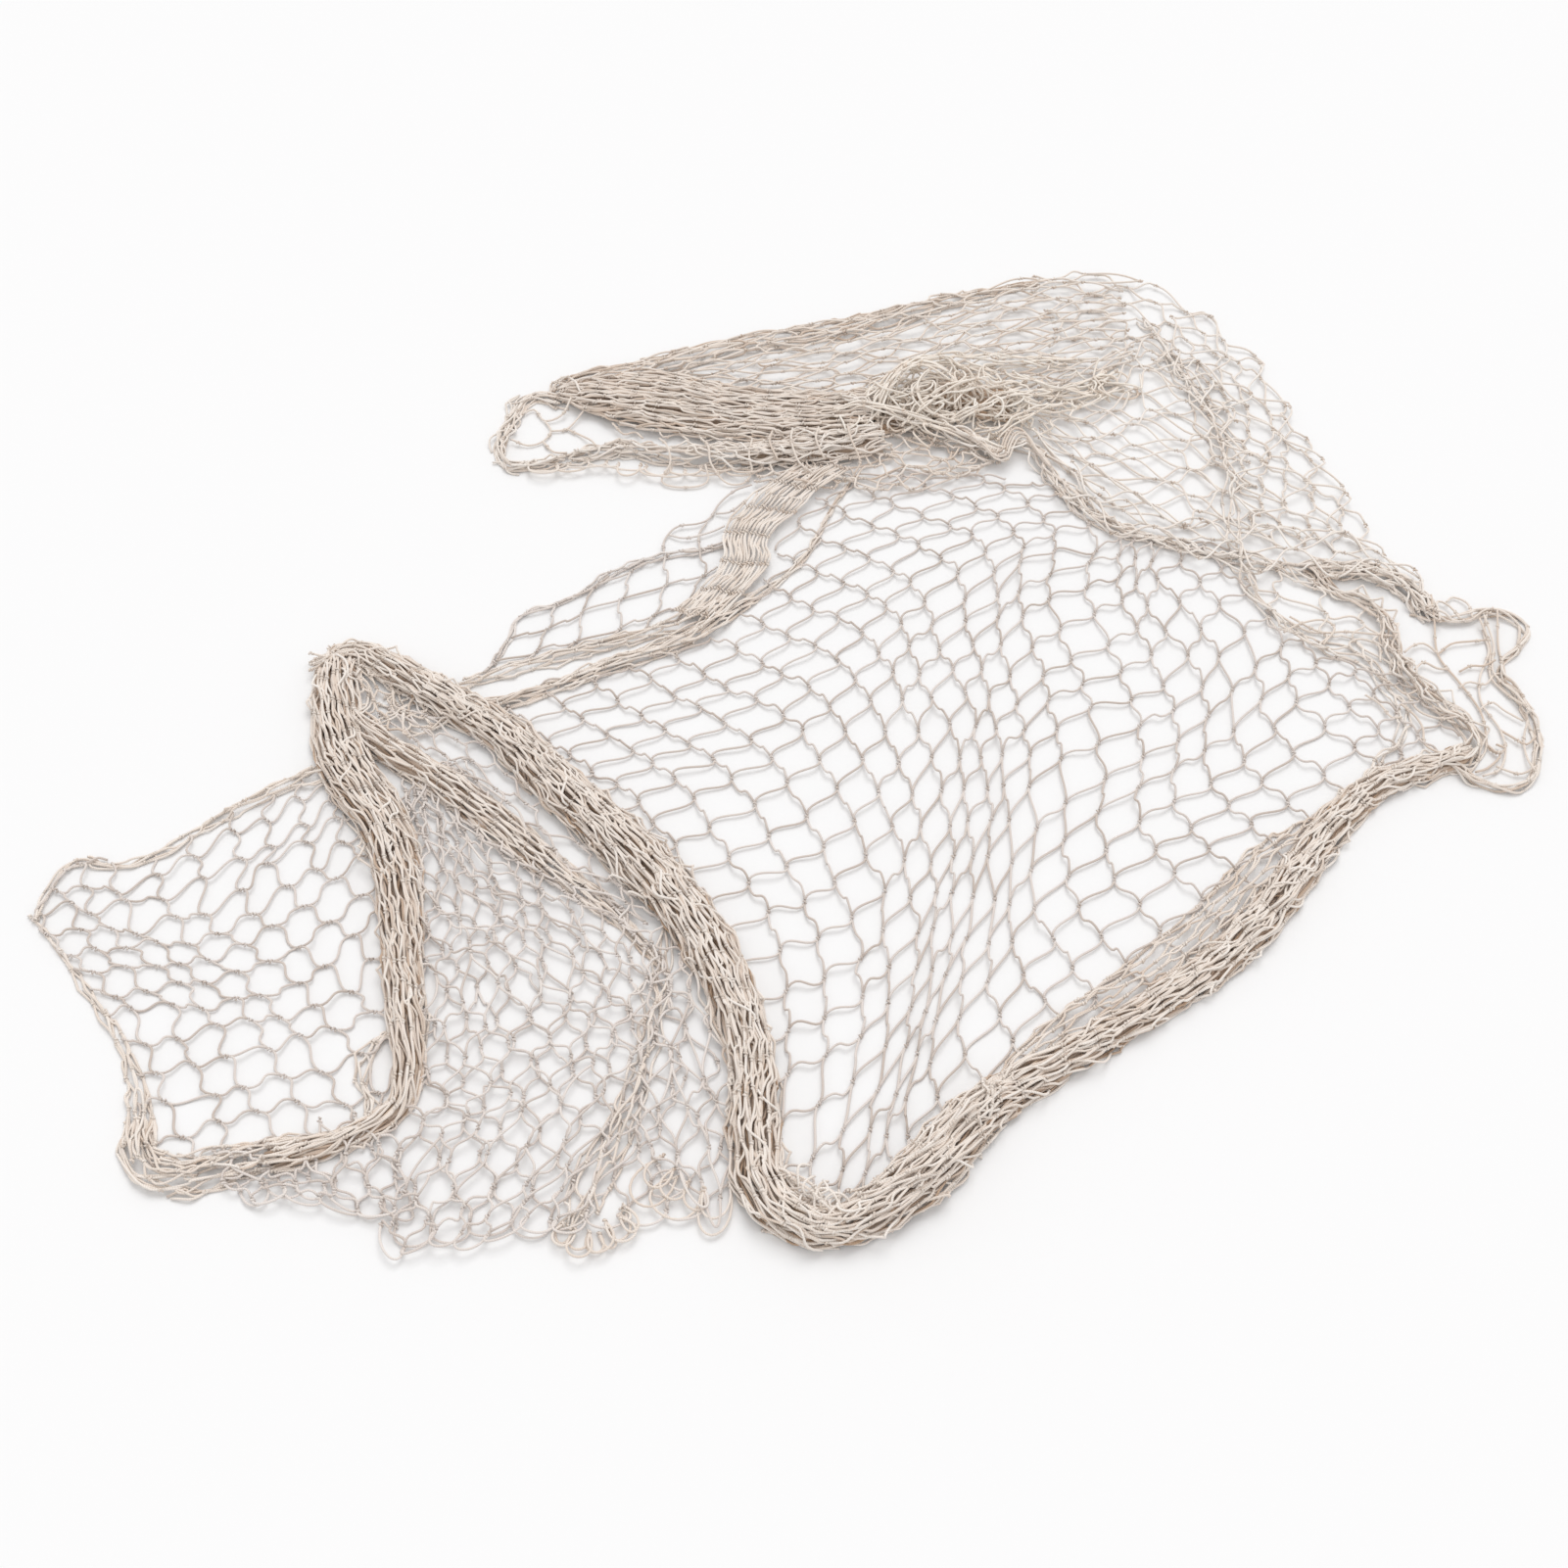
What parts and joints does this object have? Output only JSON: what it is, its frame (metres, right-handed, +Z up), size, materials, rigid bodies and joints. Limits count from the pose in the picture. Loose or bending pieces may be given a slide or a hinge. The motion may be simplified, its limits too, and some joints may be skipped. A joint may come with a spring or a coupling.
{
  "type": "decorative fishing net",
  "caption": "Knotted cotton netting lying loosely spread on a surface, partly gathered into rope-like folds, with looped free edges and open meshes between.",
  "frame": {"origin": "under the middle of the spread net, on the surface it lies on", "axes": "+X along the spread's longest side, from the pointed open corner towards the gathered corner; +Y across it, from the long front fold towards the folded-back wing; +Z up"},
  "size_m": [0.9182, 0.772, 0.0262],
  "materials": {
    "cotton_twine": "matte undyed twisted cotton twine"
  },
  "bodies": {
    "root": {"netting": "cotton_twine"}
  },
  "joints": []
}
